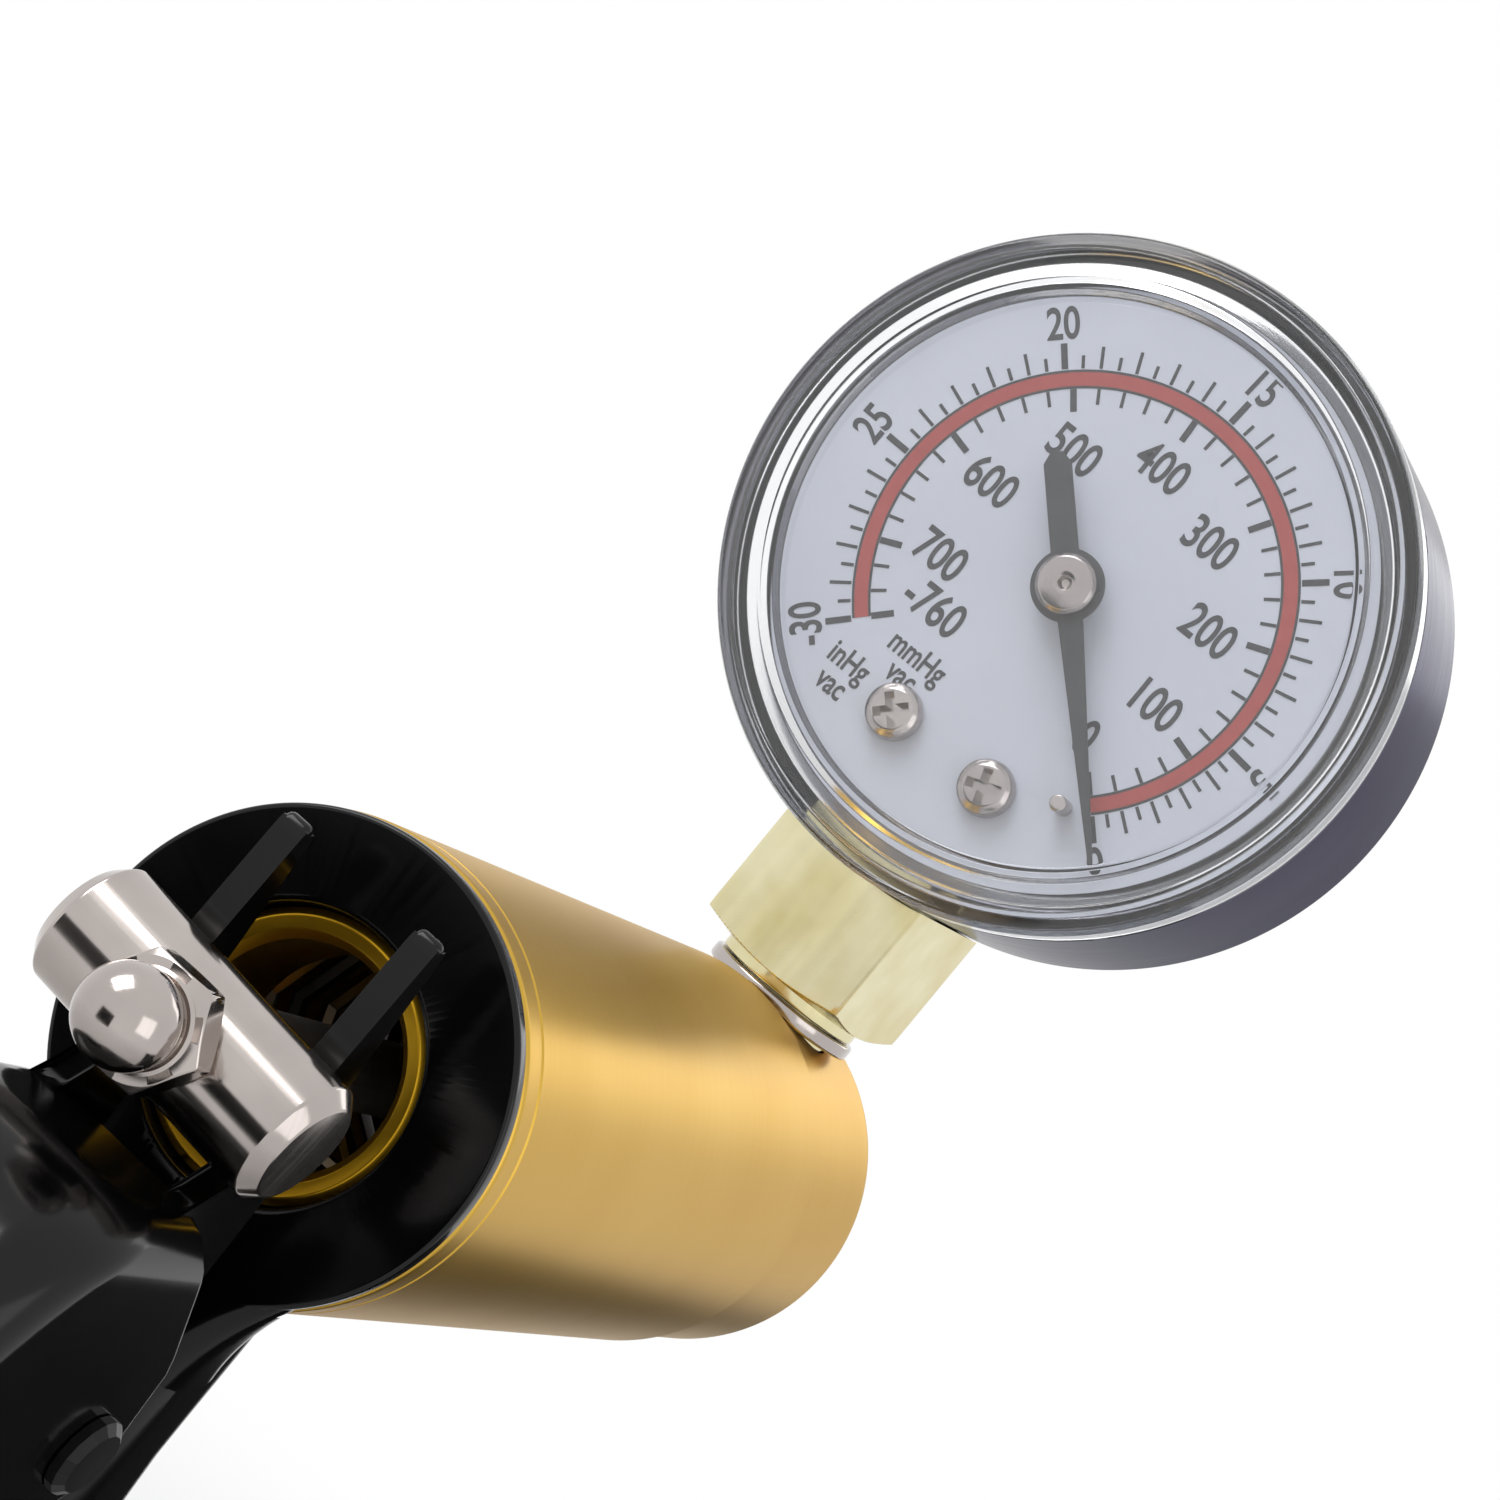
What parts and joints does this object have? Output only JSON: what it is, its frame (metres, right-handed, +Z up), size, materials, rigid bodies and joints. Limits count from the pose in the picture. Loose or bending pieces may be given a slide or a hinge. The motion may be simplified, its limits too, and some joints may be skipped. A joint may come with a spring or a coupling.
{
  "type": "hand vacuum pump",
  "caption": "Hand-held piston vacuum pump: round barrel with a squeeze lever and T-bar behind, a fixed grip below, a hose barb in front and a dial vacuum gauge on top.",
  "frame": {"origin": "under the middle of the pump's bounding box, level with the foot of the fixed handle", "axes": "+Z up towards the gauge, +Y along the barrel towards the hose barb, +X to the right seen from behind; the gauge faces -Y"},
  "size_m": [0.0524, 0.1468, 0.1758],
  "materials": {
    "gold_anodised": "gold anodised, satin gloss",
    "black_abs": "black moulded plastic, polished",
    "nickel_plate": "nickel plated, bright",
    "steel": "plain steel",
    "piston_aluminium": "turned",
    "bright_brass": "pale bright brass",
    "black_rubber": "moulded rubber",
    "chromed_steel": "pressed steel, chrome plated",
    "clear_polycarbonate": "clear moulded plastic",
    "white_enamel": "white print ground with a printed scale",
    "pointer_black": "matt black"
  },
  "bodies": {
    "pump_body": {"barrel_tube": "gold_anodised", "front_head": "gold_anodised", "guide_ring": "gold_anodised", "fixed_handle": "black_abs", "dial_screw_left": "nickel_plate", "dial_screw_right": "nickel_plate", "movement_screw_upper": "nickel_plate", "movement_screw_lower": "nickel_plate", "stop_pin": "nickel_plate", "seal_washer": "nickel_plate", "pivot_pin": "steel", "pin_clip": "steel", "return_spring": "steel", "hairspring": "steel", "gauge_socket": "bright_brass", "hose_barb": "bright_brass", "movement_back_plate": "bright_brass", "movement_front_plate": "bright_brass", "movement_pillar_left": "bright_brass", "movement_pillar_right": "bright_brass", "movement_pillar_lower": "bright_brass", "bourdon_tube": "bright_brass", "bourdon_tip": "bright_brass", "head_o_ring": "black_rubber", "gauge_case": "chromed_steel", "gauge_lens": "clear_polycarbonate", "gauge_dial": "white_enamel"},
    "lever": {"squeeze_lever": "black_abs"},
    "piston": {"piston_rod": "steel", "cross_bar": "nickel_plate", "dome_nut": "nickel_plate", "piston_body": "piston_aluminium", "piston_cup": "black_rubber", "piston_washer": "steel", "piston_nut": "steel", "valve_clip": "steel"},
    "inlet_valve_disc": {"inlet_valve": "black_rubber"},
    "exhaust_valve_disc": {"exhaust_valve": "black_rubber"},
    "sector": {"sector_gear": "bright_brass"},
    "link": {"link_arm": "bright_brass"},
    "pointer_arbor": {"pinion_arbor": "bright_brass", "pointer": "pointer_black", "pointer_cap": "nickel_plate"}
  },
  "joints": [
    {"name": "lever_pivot", "type": "hinge", "parent": "pump_body", "child": "lever", "pos_m": [0, -0.04045, 0.074], "axis": [1, 0, 0], "range_deg": [0, 26], "stiffness_Nm_per_rad": 0.3, "springref_deg": -20.05},
    {"name": "rod_slide", "type": "slide", "parent": "pump_body", "child": "piston", "axis": [0, -1, 0], "range_m": [0, 0.0118], "deforming": ["return_spring"]},
    {"name": "inlet_valve_lift", "type": "slide", "parent": "pump_body", "child": "inlet_valve_disc", "axis": [0, -1, 0], "range_m": [0, 0.0008], "stiffness_N_per_m": 8},
    {"name": "exhaust_valve_lift", "type": "slide", "parent": "piston", "child": "exhaust_valve_disc", "axis": [0, -1, 0], "range_m": [0, 0.0008], "stiffness_N_per_m": 8},
    {"name": "sector_turn", "type": "hinge", "parent": "pump_body", "child": "sector", "pos_m": [0, 0.04385, 0.13933], "axis": [0, 1, 0], "range_deg": [0, 36], "stiffness_Nm_per_rad": 0.002, "springref_deg": -2.86},
    {"name": "pointer_turn", "type": "hinge", "parent": "pump_body", "child": "pointer_arbor", "pos_m": [0, 0.04385, 0.14958], "axis": [0, -1, 0], "range_deg": [0, 270.5]},
    {"name": "link_swing", "type": "hinge", "parent": "sector", "child": "link", "pos_m": [0.0038, 0.04385, 0.14056], "axis": [0, -1, 0], "range_deg": [0, 48.5]}
  ],
  "couplings": [
    {"joint": "rod_slide", "follows": "lever_pivot", "m_per_rad": 0.02578},
    {"joint": "pointer_turn", "follows": "sector_turn", "ratio": 7.5},
    {"joint": "link_swing", "follows": "sector_turn", "ratio": 1.3333}
  ]
}
